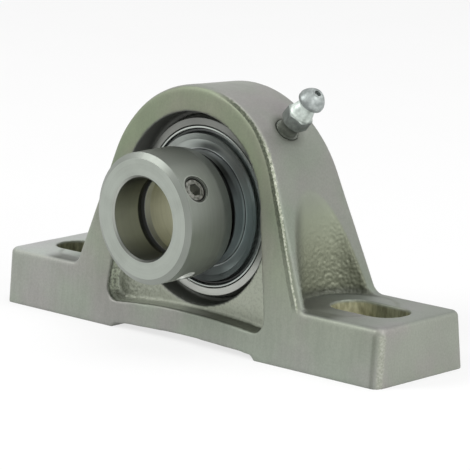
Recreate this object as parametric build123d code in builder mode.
"""A pillow block with a self-aligning insert bearing, an eccentric locking collar and a grease nipple.

Millimetres. X runs along the feet, Y along the shaft with the collar on the -Y side, and Z is up.
The origin is in the mounting plane, midway between the two bolt slots and under the shaft.
"""

import os
from math import acos, atan2, cos, hypot, radians, sin, sqrt, tan

from build123d import *

os.makedirs("parts", exist_ok=True)

# ---------------------------------------------------------------- driving dimensions: housing
axis_height = 33.3  # mounting plane to shaft centre
overall_length = 131.0
foot_depth = 31.7  # along the shaft, at the mounting plane
foot_height = 14.4
face_lean = 0.095  # the front and back faces close in by this much for each unit of height
# The arch and the legs narrow from the front to the back. Their outline is given in two planes,
# through the lower edges of the front and of the back of the feet.
front_arch_radius = 30.25
front_arch_centre = 34.2  # height
front_leg_half = 39.8  # middle to the leg's outside, where it meets the foot
back_arch_radius = 29.5
back_arch_centre = 33.05
back_leg_half = 38.5
front_root_radius = 1.3  # hollow where the leg meets the foot's top
back_root_radius = 3.4
root_reach = 5.0  # the outline's run along the foot's top, outside the leg
corner_radius = 2.5  # standing corners of the feet
edge_radius = 1.5

slot_spacing = 98.0
slot_length = 22.0
slot_width = 11.5
scoop_radius = 12.0  # room for a bolt head and its spanner, cut into each leg
scoop_draft = 1.4  # degrees; the scoops widen upwards
scoop_centre = 42.4
scoop_offset = 0.8  # the scoops lie a little in front of the slots
scoop_height = 34.0
scoop_floor_radius = 0.8

pocket_half_width = 28.2  # shallow pocket in each face, between the legs
pocket_crown = 8.0  # height of the pocket's lower edge in the middle
pocket_corner_height = 6.2
pocket_corner_radius = 3.5
pocket_floor = 10.5  # distance of the pocket's floor from the middle plane
pocket_top_half_width = 24.0
pocket_top_height = 35.0
pocket_floor_radius = 1.0

relief_half_width = 25.2  # clearance under the casting, between the two pads
relief_side_height = 1.2
relief_end_run = 1.2  # how far each end of the clearance slopes inwards
relief_crown = 2.05

# ---------------------------------------------------------------- driving dimensions: bearing
shaft_diameter = 20.0
seat_diameter = 47.0  # spherical outside of the bearing
outer_ring_width = 14.5
seat_half_width = 5.2  # of the spherical land in the housing
counterbore_radius = 24.2
loading_slot_radius = 23.6  # two slots let the bearing in edge-on, before it is turned into line
loading_slot_half_height = 7.6
lubrication_groove_start = -0.8  # along the shaft
lubrication_groove_end = 4.6
lubrication_groove_depth = 0.8
lubrication_hole_radius = 0.9
lubrication_hole_distance = 3.4  # behind the middle plane
ball_diameter = 7.938
ball_count = 8
pitch_diameter = 33.5
groove_radius = 4.09  # raceway cross-section
race_clearance = 0.02

outer_land_radius = 19.2
seal_groove_radius = 20.4
seal_groove_half = 5.0  # the seals sit outside this distance from the middle plane
ring_corner = 0.4
ring_face_corner = 0.15  # at the outer ring's two faces

cage_inner_radius = 15.2
cage_outer_radius = 18.2
cage_front = 2.6  # reach of the cage's fingers in front of the balls' centres
cage_back = 4.6
cage_pocket_radius = 4.07
cage_slit_width = 1.8
cage_slit_floor = 0.8

seal_sheet = 0.4  # thickness of the two steel washers
seal_case_bore = 15.4
seal_rim_radius = 20.15  # outside of the case's rim, at its lip
seal_rim_height = 7.2
seal_land_height = 7.3  # of the rubber's raised land, where the outer washer lies on it
seal_rubber_height = 6.4  # round the land
seal_bead_height = 6.95
seal_bead_outer = 19.65
seal_lip_gap = 0.05  # between the lip and the inner ring
seal_lip_reach = 0.6  # how far the lip's back slopes away from the inner ring
seal_washer_bore = 14.7
seal_washer_bend = 17.0  # where the washer's rim starts to turn out
seal_washer_radius = 18.5
seal_washer_rim = 8.1  # height of the rim's edge
seal_washer_gap = 0.05  # between the washer's rim and the bead round it

inner_land_radius = 14.5
inner_back = 17.1  # the inner ring's plain end
inner_shoulder = 11.2  # where the eccentric end starts, on the collar side
inner_front = 19.0
bore_chamfer = 0.8
cam_radius = 13.6
eccentricity = 0.8

collar_radius = 16.35
collar_front = 28.8
collar_back = 13.7
collar_bore_radius = 10.25
collar_recess_floor = 19.4
cam_clearance = 0.35
collar_face_radius = 14.9  # flat part of the collar's front face
collar_front_chamfer = 0.9
collar_rear_chamfer = 3.0  # along the shaft
collar_rear_radius = 15.75
collar_bore_chamfer = 0.5

screw_angle = 32.5  # degrees above +X, seen from the collar side
screw_distance = 23.8  # in front of the middle plane
screw_radius = 3.0
screw_top = 15.7
screw_tip = 10.6
screw_hole_mouth = 3.5
screw_chamfer = 0.4
screw_cup_radius = 1.5
screw_cup_angle = 45.0
socket_across_flats = 3.0
socket_depth = 3.0
drift_angle = -60.0
drift_distance = 22.2
drift_radius = 2.6
drift_depth = 3.0

# ---------------------------------------------------------------- driving dimensions: grease nipple
# Every nipple station is a distance from the centre of the bearing.
nipple_angle = 45.0  # degrees above +X, leaning over the +X foot
nipple_face = 29.95  # flat seat cut round the nipple's hole
nipple_face_radius = 3.9
nipple_passage_radius = 0.9
nipple_stem_radius = 3.0
nipple_stem_end = 25.4
nipple_stem_chamfer = 0.5
nipple_relief_radius = 2.5  # thread runout, between the casting and the hexagon
nipple_relief_start = 29.85
nipple_hex_start = 33.0
nipple_hex_end = 36.4
nipple_across_flats = 6.4
hex_corner_radius = 3.55
hex_corner_drop = 0.25
nipple_cone_radius = 3.1
nipple_cone_end = 39.4
nipple_neck_radius = 2.3
nipple_neck_end = 40.0
nipple_head_radius = 3.35
nipple_head_start = 40.8
nipple_head_end = 41.6
nipple_shoulder_radius = 2.6
nipple_shoulder = 43.1
nipple_tip_radius = 1.5
nipple_tip = 44.2
nipple_inlet_radius = 0.85
check_ball_radius = 1.25
check_ball_station = 42.4
check_chamber_start = 37.6
spring_coil_radius = 0.95
spring_wire_radius = 0.16
spring_turns = 4

fit = 0.03  # running clearance of the seat, the set screw and the check ball
overshoot = 1.0  # how far a cut runs past the face that it opens
check_chamber_radius = check_ball_radius + fit
inlet_start = check_ball_station + sqrt(check_chamber_radius**2 - nipple_inlet_radius**2)

# ---------------------------------------------------------------- planes and axes
shaft_axis = Axis((0, 0, axis_height), (0, 1, 0))
# Profiles turned about the shaft: local x runs along the shaft, local y is the radius.
axial_plane = Plane(origin=(0, 0, axis_height), x_dir=(0, 1, 0), z_dir=(1, 0, 0))


def outward(angle):
    """The direction of this angle round the shaft, in degrees above +X."""
    return Vector(cos(radians(angle)), 0, sin(radians(angle)))


def radial_plane(angle, distance=0.0):
    """A plane square to the radius at this angle, facing outwards; distance moves it along -Y."""
    return Plane(origin=(0, -distance, axis_height), x_dir=(0, 1, 0), z_dir=outward(angle))


def shaft_plane(distance):
    """A plane square to the shaft at this place along Y, facing +Y."""
    return Plane(origin=(0, distance, axis_height), x_dir=(-1, 0, 0), z_dir=(0, 1, 0))


def arc_middle(centre, start, end, radius):
    """The point of an arc about the centre that lies midway between its two ends."""
    between = (Vector(*start) + Vector(*end)) / 2 - Vector(*centre)
    return Vector(*centre) + between.normalized() * radius


# ---------------------------------------------------------------- housing
foot_half = overall_length / 2
foot_front = foot_depth / 2
crown_height = front_arch_centre + front_arch_radius
leg_root = foot_height / 2  # the outline goes on down into the foot
near = 0.01  # how close an edge or a corner must be to its nominal place to be picked
aligned = 0.9  # how much of an edge's direction must lie along an axis to count as along it
seat_radius = seat_diameter / 2 + fit
seat_edge = sqrt(seat_radius**2 - seat_half_width**2)
nipple_plane = radial_plane(nipple_angle)


def on_upper_rim(edge):
    """True for the edges that bound the front, back and end faces along their upper side."""
    middle = edge.center()
    near_face = abs(middle.Y) > foot_front - face_lean * middle.Z - corner_radius
    near_end = abs(middle.X) > foot_half - corner_radius
    upright = abs(edge.tangent_at(0.5).Z) > aligned
    return middle.Z > foot_height / 2 and (near_face or near_end) and not (near_end and upright)


def at_foot_corner(edge):
    """True for the four standing corners of the foot."""
    middle = edge.center()
    upright = abs(edge.tangent_at(0.5).Z) > aligned
    return upright and abs(middle.X) > foot_half - near and abs(middle.Y) > foot_front / 2


with BuildPart() as housing:
    with BuildSketch(Plane.XY):
        Rectangle(overall_length, foot_depth)
    extrude(amount=foot_height)

    # The arch runs into the legs tangentially, in the front outline and in the back one, and a
    # hollow joins each leg to the foot's top.
    for place, radius, centre, leg_half, root_radius in (
        (foot_front, front_arch_radius, front_arch_centre, front_leg_half, front_root_radius),
        (-foot_front, back_arch_radius, back_arch_centre, back_leg_half, back_root_radius),
    ):
        drop = centre - foot_height
        tangent_angle = atan2(-drop, leg_half) + acos(radius / hypot(leg_half, drop))
        tangent_x = radius * cos(tangent_angle)
        tangent_z = centre + radius * sin(tangent_angle)
        root_end = leg_half + root_reach
        with BuildSketch(Plane.XZ.offset(place)) as outline:
            with BuildLine():
                ThreePointArc((tangent_x, tangent_z), (0, centre + radius), (-tangent_x, tangent_z))
                Polyline(
                    (-tangent_x, tangent_z),
                    (-leg_half, foot_height),
                    (-root_end, foot_height),
                    (-root_end, leg_root),
                    (root_end, leg_root),
                    (root_end, foot_height),
                    (leg_half, foot_height),
                    (tangent_x, tangent_z),
                )
            make_face()
            leg_roots = outline.vertices().filter_by(
                lambda v: abs(abs(v.X) - leg_half) < near and abs(v.Y - foot_height) < near
            )
            fillet(leg_roots, root_radius)
    loft(ruled=True)

    # The two faces lean towards each other, so the casting leaves its mould.
    with BuildSketch(Plane.YZ):
        with BuildLine():
            lean_top = crown_height + overshoot
            lean = face_lean * lean_top
            Polyline(
                (-foot_front, 0),
                (foot_front, 0),
                (foot_front - lean, lean_top),
                (lean - foot_front, lean_top),
                close=True,
            )
        make_face()
    extrude(amount=overall_length, both=True, mode=Mode.INTERSECT)

    fillet(housing.edges().filter_by(at_foot_corner), corner_radius)
    fillet(housing.edges().filter_by(on_upper_rim), edge_radius)

    # Scoops: a round, upright cut in the outer side of each leg, down to the top of the foot.
    for side in (1, -1):
        centre = (side * scoop_centre, -scoop_offset, foot_height)
        with BuildSketch(Plane(origin=centre, x_dir=(1, 0, 0), z_dir=(0, -1, 0))) as scoop:
            with BuildLine():
                Polyline(
                    (0, 0),
                    (scoop_radius, 0),
                    (scoop_radius + scoop_height * tan(radians(scoop_draft)), scoop_height),
                    (0, scoop_height),
                    close=True,
                )
            make_face()
            floor_corner = scoop.vertices().sort_by(Axis.X)[-2]
            fillet(floor_corner, scoop_floor_radius)
        revolve(axis=Axis(centre, (0, 0, 1)), mode=Mode.SUBTRACT)

    with BuildSketch(Plane.XY):
        with Locations((slot_spacing / 2, 0), (-slot_spacing / 2, 0)):
            SlotOverall(slot_length, slot_width)
    extrude(amount=foot_height + overshoot, mode=Mode.SUBTRACT)

    # A shallow pocket in each face, between the legs, open to the bearing's hole above it.
    for side in (1, -1):
        with BuildSketch(Plane.XZ.offset(side * pocket_floor)) as pocket:
            with BuildLine():
                ThreePointArc(
                    (-pocket_half_width, pocket_corner_height),
                    (0, pocket_crown),
                    (pocket_half_width, pocket_corner_height),
                )
                Polyline(
                    (pocket_half_width, pocket_corner_height),
                    (pocket_top_half_width, pocket_top_height),
                    (-pocket_top_half_width, pocket_top_height),
                    (-pocket_half_width, pocket_corner_height),
                )
            make_face()
            fillet(pocket.vertices().sort_by(Axis.Y)[:2], pocket_corner_radius)
        extrude(amount=side * foot_depth, mode=Mode.SUBTRACT)
    pocket_edges = housing.edges().filter_by(lambda e: abs(abs(e.center().Y) - pocket_floor) < near)
    fillet(pocket_edges, pocket_floor_radius)

    # Clearance under the middle, so that the casting stands on its two feet.
    with BuildSketch(Plane.XZ):
        with BuildLine():
            relief_top_half = relief_half_width - relief_end_run
            ThreePointArc(
                (-relief_top_half, relief_side_height),
                (0, relief_crown),
                (relief_top_half, relief_side_height),
            )
            Polyline(
                (relief_top_half, relief_side_height),
                (relief_half_width, 0),
                (-relief_half_width, 0),
                (-relief_top_half, relief_side_height),
            )
        make_face()
    extrude(amount=foot_depth, both=True, mode=Mode.SUBTRACT)

    # The bearing's hole: a spherical seat in the middle, with a wider hole on each side of it.
    with BuildSketch(axial_plane):
        with BuildLine():
            ThreePointArc((-seat_half_width, seat_edge), (0, seat_radius), (seat_half_width, seat_edge))
            Polyline(
                (seat_half_width, seat_edge),
                (seat_half_width, counterbore_radius),
                (foot_depth, counterbore_radius),
                (foot_depth, 0),
                (-foot_depth, 0),
                (-foot_depth, counterbore_radius),
                (-seat_half_width, counterbore_radius),
                (-seat_half_width, seat_edge),
            )
        make_face()
    revolve(axis=shaft_axis, mode=Mode.SUBTRACT)

    with BuildSketch(Plane.XZ):
        with Locations((0, axis_height)):
            Circle(loading_slot_radius)
            Rectangle(foot_depth * 2, loading_slot_half_height * 2, mode=Mode.INTERSECT)
    extrude(amount=foot_depth, mode=Mode.SUBTRACT)

    with BuildSketch(axial_plane):
        groove_middle = (lubrication_groove_start + lubrication_groove_end) / 2
        with Locations((groove_middle, seat_radius)):
            Rectangle(lubrication_groove_end - lubrication_groove_start, lubrication_groove_depth * 2)
    revolve(axis=shaft_axis, mode=Mode.SUBTRACT)

    # The nipple's hole, with a flat seat round its mouth and a narrow passage down to the groove.
    with BuildSketch(nipple_plane.offset(nipple_face)):
        Circle(nipple_face_radius)
    extrude(amount=nipple_tip, mode=Mode.SUBTRACT)
    with BuildSketch(nipple_plane.offset(nipple_stem_end)):
        Circle(nipple_stem_radius + fit)
    extrude(amount=nipple_tip, mode=Mode.SUBTRACT)
    with BuildSketch(nipple_plane.offset(seat_radius - overshoot)):
        Circle(nipple_passage_radius)
    extrude(amount=nipple_tip, mode=Mode.SUBTRACT)

housing.part.label = "housing"
export_step(housing.part, "parts/housing.step")

# ---------------------------------------------------------------- outer ring
ring_half = outer_ring_width / 2
ring_face_radius = sqrt((seat_diameter / 2) ** 2 - ring_half**2)
outer_groove_bottom = pitch_diameter / 2 + ball_diameter / 2 + race_clearance
outer_groove_centre = outer_groove_bottom - groove_radius
outer_groove_half = sqrt(groove_radius**2 - (outer_land_radius - outer_groove_centre) ** 2)

with BuildPart() as outer_ring:
    with BuildSketch(axial_plane):
        with BuildLine():
            ThreePointArc(
                (-ring_half, ring_face_radius),
                (0, seat_diameter / 2),
                (ring_half, ring_face_radius),
            )
            Polyline(
                (ring_half, ring_face_radius),
                (ring_half, seal_groove_radius),
                (seal_groove_half, seal_groove_radius),
                (seal_groove_half, outer_land_radius),
                (outer_groove_half, outer_land_radius),
            )
            ThreePointArc(
                (outer_groove_half, outer_land_radius),
                (0, outer_groove_bottom),
                (-outer_groove_half, outer_land_radius),
            )
            Polyline(
                (-outer_groove_half, outer_land_radius),
                (-seal_groove_half, outer_land_radius),
                (-seal_groove_half, seal_groove_radius),
                (-ring_half, seal_groove_radius),
                (-ring_half, ring_face_radius),
            )
        make_face()
    revolve(axis=shaft_axis)
    face_edges = outer_ring.edges().filter_by(lambda e: abs(abs(e.center().Y) - ring_half) < near)
    chamfer(face_edges, ring_face_corner)

    # Two lubrication holes, under the groove of the seat.
    with BuildSketch(radial_plane(nipple_angle, -lubrication_hole_distance)):
        Circle(lubrication_hole_radius)
    extrude(amount=seat_diameter, both=True, mode=Mode.SUBTRACT)

outer_ring.part.label = "outer_ring"
export_step(outer_ring.part, "parts/outer_ring.step")

# ---------------------------------------------------------------- inner ring
inner_groove_bottom = pitch_diameter / 2 - ball_diameter / 2 - race_clearance
inner_groove_centre = inner_groove_bottom + groove_radius
inner_groove_half = sqrt(groove_radius**2 - (inner_groove_centre - inner_land_radius) ** 2)

with BuildPart() as inner_ring:
    with BuildSketch(axial_plane):
        with BuildLine():
            ThreePointArc(
                (-inner_groove_half, inner_land_radius),
                (0, inner_groove_bottom),
                (inner_groove_half, inner_land_radius),
            )
            Polyline(
                (inner_groove_half, inner_land_radius),
                (inner_back, inner_land_radius),
                (inner_back, 0),
                (-inner_shoulder, 0),
                (-inner_shoulder, inner_land_radius),
                (-inner_groove_half, inner_land_radius),
            )
        make_face()
    revolve(axis=shaft_axis)

    # The eccentric end, raised by its eccentricity, that the collar turns against.
    with BuildSketch(shaft_plane(-inner_front)):
        with Locations((0, eccentricity)):
            Circle(cam_radius)
    extrude(amount=inner_front - inner_shoulder)

    ring_ends = inner_ring.faces().sort_by(Axis.Y)
    outer_corners = (ring_ends[0].outer_wire().edges(), ring_ends[-1].outer_wire().edges())
    chamfer(outer_corners[0] + outer_corners[1], ring_corner)

    with BuildSketch(axial_plane):
        with BuildLine():
            bore_radius = shaft_diameter / 2
            Polyline(
                (-inner_front, 0),
                (-inner_front, bore_radius + bore_chamfer),
                (bore_chamfer - inner_front, bore_radius),
                (inner_back - bore_chamfer, bore_radius),
                (inner_back, bore_radius + bore_chamfer),
                (inner_back, 0),
                close=True,
            )
        make_face()
    revolve(axis=shaft_axis, mode=Mode.SUBTRACT)

inner_ring.part.label = "inner_ring"
export_step(inner_ring.part, "parts/inner_ring.step")

# ---------------------------------------------------------------- balls
ball_angles = [360 * n / ball_count for n in range(ball_count)]
ball_places = [outward(angle) * pitch_diameter / 2 + (0, 0, axis_height) for angle in ball_angles]

for number, place in enumerate(ball_places, start=1):
    with BuildPart() as ball:
        with Locations(place):
            Sphere(ball_diameter / 2)
    ball.part.label = f"ball_{number}"
    export_step(ball.part, f"parts/ball_{number}.step")

# ---------------------------------------------------------------- cage
with BuildPart() as cage:
    # A ring with a pocket round each ball, open in front so that the balls snap in.
    with BuildSketch(shaft_plane(-cage_front)):
        Circle(cage_outer_radius)
        Circle(cage_inner_radius, mode=Mode.SUBTRACT)
    extrude(amount=cage_front + cage_back)
    with Locations(ball_places):
        Sphere(cage_pocket_radius, mode=Mode.SUBTRACT)

    # Slits between the pockets leave two springy fingers beside each ball.
    with BuildSketch(shaft_plane(-cage_front)):
        with PolarLocations(pitch_diameter / 2, ball_count, start_angle=180 / ball_count):
            Rectangle(cage_outer_radius - cage_inner_radius + cage_slit_width, cage_slit_width)
    extrude(amount=cage_front + cage_slit_floor, mode=Mode.SUBTRACT)

cage.part.label = "cage"
export_step(cage.part, "parts/cage.step")

# ---------------------------------------------------------------- seals
case_face = seal_groove_half + seal_sheet
lip_radius = inner_land_radius + seal_lip_gap
lip_root = lip_radius + seal_lip_reach
washer_face = seal_land_height + seal_sheet
bead_foot = seal_washer_radius + seal_washer_gap
bead_middle = (seal_bead_outer + bead_foot) / 2

for side, name in ((-1, "front"), (1, "rear")):
    seal_plane = axial_plane if side > 0 else Plane(axial_plane.origin, (0, -1, 0), (-1, 0, 0))

    # The case lies on the groove's shoulder, and its rim is turned out and in to hold the rubber.
    with BuildPart() as seal_case:
        with BuildSketch(seal_plane):
            with BuildLine():
                Polyline(
                    (seal_groove_half, seal_case_bore),
                    (seal_groove_half, seal_groove_radius),
                    (case_face, seal_groove_radius),
                    (seal_rim_height, seal_rim_radius),
                    (seal_rim_height, seal_rim_radius - seal_sheet),
                    (case_face, seal_groove_radius - seal_sheet),
                    (case_face, seal_case_bore),
                    close=True,
                )
            make_face()
        revolve(axis=shaft_axis)
    seal_case.part.label = f"{name}_seal_case"
    export_step(seal_case.part, f"parts/{name}_seal_case.step")

    # The rubber fills the case. Its lip runs on the inner ring, a raised land carries the outer
    # washer, and a bead stands up round its edge.
    with BuildPart() as seal_rubber:
        with BuildSketch(seal_plane):
            with BuildLine():
                Polyline(
                    (case_face, lip_root),
                    (case_face, seal_bead_outer),
                    (seal_rubber_height, seal_bead_outer),
                )
                ThreePointArc(
                    (seal_rubber_height, seal_bead_outer),
                    (seal_bead_height, bead_middle),
                    (seal_rubber_height, bead_foot),
                )
                Polyline(
                    (seal_rubber_height, bead_foot),
                    (seal_rubber_height, seal_washer_bend),
                    (seal_land_height, seal_washer_bend),
                    (seal_land_height, lip_radius),
                    (case_face, lip_root),
                )
            make_face()
        revolve(axis=shaft_axis)
    seal_rubber.part.label = f"{name}_seal_rubber"
    export_step(seal_rubber.part, f"parts/{name}_seal_rubber.step")

    # The outer washer is pressed on the rubber, and its rim is turned out a little.
    with BuildPart() as seal_washer:
        with BuildSketch(seal_plane):
            with BuildLine():
                Polyline(
                    (seal_land_height, seal_washer_bore),
                    (seal_land_height, seal_washer_bend),
                    (seal_washer_rim - seal_sheet, seal_washer_radius),
                    (seal_washer_rim, seal_washer_radius),
                    (washer_face, seal_washer_bend),
                    (washer_face, seal_washer_bore),
                    close=True,
                )
            make_face()
        revolve(axis=shaft_axis)
    seal_washer.part.label = f"{name}_seal_washer"
    export_step(seal_washer.part, f"parts/{name}_seal_washer.step")

# ---------------------------------------------------------------- locking collar
recess_radius = cam_radius + cam_clearance

with BuildPart() as locking_collar:
    with BuildSketch(axial_plane):
        with BuildLine():
            Polyline(
                (-collar_front, collar_bore_radius + collar_bore_chamfer),
                (-collar_front, collar_face_radius),
                (collar_front_chamfer - collar_front, collar_radius),
                (-collar_back - collar_rear_chamfer, collar_radius),
                (-collar_back, collar_rear_radius),
                (-collar_back, collar_bore_radius),
                (collar_bore_chamfer - collar_front, collar_bore_radius),
                close=True,
            )
        make_face()
    revolve(axis=shaft_axis)

    # The recess has the same eccentricity as the ring's end, so a part turn wedges the two together.
    with BuildSketch(shaft_plane(-collar_recess_floor)):
        with Locations((0, eccentricity)):
            Circle(recess_radius)
    extrude(amount=collar_recess_floor - collar_back, mode=Mode.SUBTRACT)

    with BuildSketch(radial_plane(screw_angle, screw_distance)):
        Circle(screw_radius + fit)
    extrude(amount=collar_radius + overshoot, mode=Mode.SUBTRACT)
    with BuildSketch(radial_plane(screw_angle, screw_distance).offset(screw_top)):
        Circle(screw_hole_mouth)
    extrude(amount=collar_radius, mode=Mode.SUBTRACT)

    # A blind hole for the pin that knocks the collar round.
    with BuildSketch(radial_plane(drift_angle, drift_distance).offset(collar_radius - drift_depth)):
        Circle(drift_radius)
    extrude(amount=drift_depth + overshoot, mode=Mode.SUBTRACT)

locking_collar.part.label = "locking_collar"
export_step(locking_collar.part, "parts/locking_collar.step")

# ---------------------------------------------------------------- set screw
screw_plane = radial_plane(screw_angle, screw_distance)

with BuildPart() as set_screw:
    with BuildSketch(screw_plane.offset(screw_tip)):
        Circle(screw_radius)
    extrude(amount=screw_top - screw_tip)
    chamfer(set_screw.edges().filter_by(GeomType.CIRCLE), screw_chamfer)
    with BuildSketch(screw_plane.offset(screw_top)):
        RegularPolygon(socket_across_flats / 2, 6, major_radius=False)
    extrude(amount=-socket_depth, mode=Mode.SUBTRACT)
    # The tip is a cup, whose sharp rim bites into the shaft.
    with BuildSketch(screw_plane.offset(screw_tip)):
        Circle(screw_cup_radius)
    extrude(amount=screw_cup_radius, taper=screw_cup_angle, mode=Mode.SUBTRACT)

set_screw.part.label = "set_screw"
export_step(set_screw.part, "parts/set_screw.step")

# ---------------------------------------------------------------- grease nipple
nipple_axis = Axis((0, 0, axis_height), outward(nipple_angle))
# Local x is the distance from the nipple's axis, local y the distance from the bearing's centre.
nipple_section = Plane(
    origin=(0, 0, axis_height),
    x_dir=(0, 1, 0),
    z_dir=Vector(0, 1, 0).cross(outward(nipple_angle)),
)

with BuildPart() as nipple_body:
    # The hexagon first, with its corners turned off.
    with BuildSketch(nipple_plane.offset(nipple_hex_start)):
        RegularPolygon(nipple_across_flats / 2, 6, major_radius=False)
    extrude(amount=nipple_hex_end - nipple_hex_start)
    with BuildSketch(nipple_section):
        with BuildLine():
            Polyline(
                (0, nipple_hex_start),
                (nipple_across_flats / 2, nipple_hex_start),
                (hex_corner_radius, nipple_hex_start + hex_corner_drop),
                (hex_corner_radius, nipple_hex_end - hex_corner_drop),
                (nipple_across_flats / 2, nipple_hex_end),
                (0, nipple_hex_end),
                close=True,
            )
        make_face()
    revolve(axis=nipple_axis, mode=Mode.INTERSECT)

    # Stem, thread runout, cone, neck and head.
    with BuildSketch(nipple_section):
        with BuildLine():
            Polyline(
                (0, nipple_stem_end),
                (nipple_stem_radius - nipple_stem_chamfer, nipple_stem_end),
                (nipple_stem_radius, nipple_stem_end + nipple_stem_chamfer),
                (nipple_stem_radius, nipple_relief_start),
                (nipple_relief_radius, nipple_relief_start),
                (nipple_relief_radius, nipple_hex_start),
                (nipple_relief_radius, nipple_hex_end),
                (nipple_cone_radius, nipple_hex_end),
                (nipple_neck_radius, nipple_cone_end),
                (nipple_neck_radius, nipple_neck_end),
                (nipple_head_radius, nipple_head_start),
                (nipple_head_radius, nipple_head_end),
            )
            ThreePointArc(
                (nipple_head_radius, nipple_head_end),
                (nipple_shoulder_radius, nipple_shoulder),
                (nipple_tip_radius, nipple_tip),
            )
            Polyline((nipple_tip_radius, nipple_tip), (0, nipple_tip), (0, nipple_stem_end))
        make_face()
    revolve(axis=nipple_axis)

    # The passage: narrow below, wide for the spring, and a round seat that the ball shuts.
    with BuildSketch(nipple_section):
        with BuildLine():
            Polyline(
                (0, nipple_stem_end - overshoot),
                (nipple_passage_radius, nipple_stem_end - overshoot),
                (nipple_passage_radius, check_chamber_start),
                (check_chamber_radius, check_chamber_start),
                (check_chamber_radius, check_ball_station),
            )
            ThreePointArc(
                (check_chamber_radius, check_ball_station),
                arc_middle(
                    (0, check_ball_station),
                    (check_chamber_radius, check_ball_station),
                    (nipple_inlet_radius, inlet_start),
                    check_chamber_radius,
                ),
                (nipple_inlet_radius, inlet_start),
            )
            Polyline(
                (nipple_inlet_radius, inlet_start),
                (nipple_inlet_radius, nipple_tip + overshoot),
                (0, nipple_tip + overshoot),
                (0, nipple_stem_end - overshoot),
            )
        make_face()
    revolve(axis=nipple_axis, mode=Mode.SUBTRACT)

nipple_body.part.label = "nipple_body"
export_step(nipple_body.part, "parts/nipple_body.step")

with BuildPart() as nipple_ball:
    with Locations(nipple_axis.position + nipple_axis.direction * check_ball_station):
        Sphere(check_ball_radius)

nipple_ball.part.label = "nipple_ball"
export_step(nipple_ball.part, "parts/nipple_ball.step")

# The spring stands on the chamber's floor and its top coil touches the ball.
spring_start = check_chamber_start + spring_wire_radius
ball_reach = check_ball_radius + spring_wire_radius
spring_end = check_ball_station - sqrt(ball_reach**2 - spring_coil_radius**2)

with BuildPart() as nipple_spring:
    with BuildLine() as coil:
        Helix(
            pitch=(spring_end - spring_start) / spring_turns,
            height=spring_end - spring_start,
            radius=spring_coil_radius,
            center=nipple_axis.position + nipple_axis.direction * spring_start,
            direction=nipple_axis.direction,
        )
    with BuildSketch(Plane(origin=coil.line @ 0, z_dir=coil.line % 0)):
        Circle(spring_wire_radius)
    sweep(is_frenet=True)

nipple_spring.part.label = "nipple_spring"
export_step(nipple_spring.part, "parts/nipple_spring.step")
